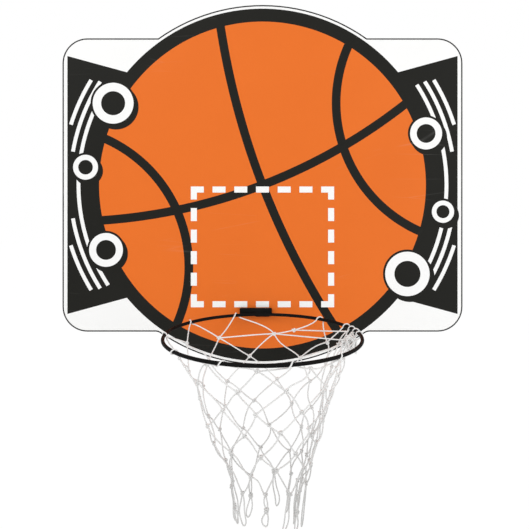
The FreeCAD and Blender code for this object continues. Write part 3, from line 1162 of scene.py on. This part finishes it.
def insideHoop(place):
    # the same place, drawn in to the wire's inner side where it would reach past it
    limit = hoopRadius - wireRadius - twineValues["radius"]
    reach = math.hypot(place.x - hoopMiddle.x, place.y - hoopMiddle.y)
    return place - outwardAt(place) * max(0.0, reach - limit)


def laySlack(curve, middle, loops, knots):
    # slack of the net bunched up under the wire
    values = bunchValues
    for _ in range(loops):
        wide = netRandom.uniform(*values["width"])
        high = netRandom.uniform(*values["height"])
        aside = Vector([netRandom.uniform(*limits) for limits in values["aside"]])
        centre = middle + stray(values["spread"])
        centre.z = min(centre.z, middle.z)
        ripple = netRandom.uniform(*values["ripple"])
        phase = anyPhase()
        points = []
        for step in range(values["steps"]):
            t = math.tau * step / values["steps"]
            swell = 1 + ripple * math.sin(3 * t + phase)
            depth = Vector((0, values["depth"] * math.sin(2 * t + phase), 0))
            rise = Vector((0, 0, high * math.sin(t)))
            points.append(insideHoop(centre + aside * wide * swell * math.cos(t) + rise + depth))
        layTwine(curve, points, closed=True)
    for _ in range(knots):
        place = insideHoop(middle + stray(values["spread"]))
        layKnot(curve, place, Vector(values["facing"]).normalized())


def layGathered(curve, rows, firstStrands):
    # slack and cords that the bunched turns have drawn across the hoop
    values = bunchValues
    bunched = values["hitches"]
    share = sum(netValues["hitchTurns"][:bunched]) / bunched
    middle = wirePoint(share, math.pi, values["reach"]) + Vector(values["slip"])
    laySlack(curve, middle, values["loops"], values["knots"])
    top = middle + Vector(values["topSlip"])
    first, second = rows[1], rows[2]
    held = firstStrands[bunched]
    rope = held[int(len(held) * values["ropeShare"])]
    layKnot(curve, rope, outwardAt(rope))
    drawn = [
        (top, rope),
        (middle, first[bunched]),
        (first[bunched], first[bunched + 1]),
        (middle, second[bunched - 1]),
    ]
    for start, end in drawn:
        way = (end - start) / 3
        layTwine(curve, curvePoints(start, way + stray(values["drawnBow"]), end, way))
    return middle


def layRows(rows, hitches):
    # the cords and knots of every row, with the cords that leave the wire for later use
    curves, firstStrands = {}, []
    for name, (first, last) in netValues["lengths"].items():
        curve = newTwine(name)
        curves[name] = curve
        for number in range(first, last + 1):
            above = rows[number - 1]
            for place, knot in enumerate(rows[number]):
                after = (place + 1) % len(above)
                if number == 1:  # hangs from the inner end of one turn and the outer end of the next
                    near, far = hitches[place], hitches[after]
                    strand = layStrand(curve, near[-1], knot, (near[-1] - near[-2]).normalized())
                    firstStrands.append(strand)
                    layStrand(curve, far[0], knot, (far[0] - far[1]).normalized())
                else:
                    layStrand(curve, above[place], knot)
                    layStrand(curve, above[after], knot)
                layKnot(curve, knot, outwardAt(knot))
    return curves, firstStrands


def makeNet():
    rows = netKnots()
    loops = newTwine("netRingLoops")
    hitches = [layHitch(loops, turn) for turn in netValues["hitchTurns"]]
    curves, firstStrands = layRows(rows, hitches)
    bunch = layGathered(curves["netUpper"], rows, firstStrands)
    endLoops = []
    for number, knot in enumerate(rows[-1]):
        tied = number % 2 == 0
        side = 1 if tied else -1
        endLoops.append(layEndLoop(curves["netTail"], knot, outwardAt(knot), side, tied))
    for points in endLoops[::2]:
        layTie(curves["netTail"], points)
    laySlack(curves["netUpper"], bunch, bunchValues["lateLoops"], bunchValues["lateKnots"])
    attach(twineMesh(loops, "net_ring_loops"), "board")
    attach(twineMesh(curves["netUpper"], "net_upper"), "board")
    middle = twineMesh(curves["netMiddle"], "net_middle")
    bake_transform(middle)
    tail = twineMesh(curves["netTail"], "net_tail")
    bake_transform(tail)


makeNet()
print("net tied")


# the hoop's bar with its edges eased, and the weld beads that hold the wire to it

barValues = {"ease": 0.0007, "easeSteps": 3, "smoothAngle": 40}


def makeBar():
    deselectAll()
    bpy.ops.mesh.primitive_cube_add(size=1, location=(barLow + barHigh) / 2)
    bar = bpy.context.object
    bar.scale = barHigh - barLow
    applyPlace()
    bpy.ops.object.mode_set(mode="EDIT")
    bpy.ops.mesh.select_all(action="SELECT")
    bpy.ops.mesh.bevel(offset=barValues["ease"], segments=barValues["easeSteps"], affect="EDGES")
    bpy.ops.object.mode_set(mode="OBJECT")
    bpy.ops.object.shade_smooth_by_angle(angle=math.radians(barValues["smoothAngle"]))
    finishPiece(joinPieces("hoopBar", [bar]), blackSteel, "board", ["hoop_bar"])


weldValues = {
    "thickness": 0.0011,
    "roundness": 3,
    "ripples": 11,
    "rippleShare": 0.16,
    "rippleSteps": 6,
    "endShare": 0.25,  # thickness at the ends, and how fast it grows from there
    "endRise": 6,
}


def makeWelds():
    values = weldValues
    curve = newRod("hoopWelds", values["thickness"], values["roundness"])
    steps = values["ripples"] * values["rippleSteps"]
    for side in (-1, 1):
        spline = curve.splines.new("POLY")
        spline.points.add(steps)
        for number in range(steps + 1):
            share = number / steps
            x = weldLow.x + (weldHigh.x - weldLow.x) * share
            wave = math.sin(math.pi * values["ripples"] * share) ** 2
            taper = min(1.0, values["endRise"] * min(share, 1 - share) + values["endShare"])
            spline.points[number].co = (x, barLow.y, hoopMiddle.z + side * wireRadius, 1)
            spline.points[number].radius = (1 + values["rippleShare"] * wave) * taper
    finishPiece(rodMesh(curve), blackSteel, "board", ["hoop_welds"])


makeBar()
makeWelds()
print("bar and welds made")


# finishes of the pieces that come from the frame

frameFinishes = {
    "panel": fibreBoard,
    "face_print": inks["whiteInk"],
    "edge_band": darkStrip,
    "hoop": blackSteel,
    "bar_screws": zinc,
    "bar_washers": zinc,
    "hanger_left": zinc,
    "hanger_right": zinc,
    "hanger_screws": zinc,
}
for name, material in frameFinishes.items():
    dress(nodes[name], material)
print("frame pieces finished")
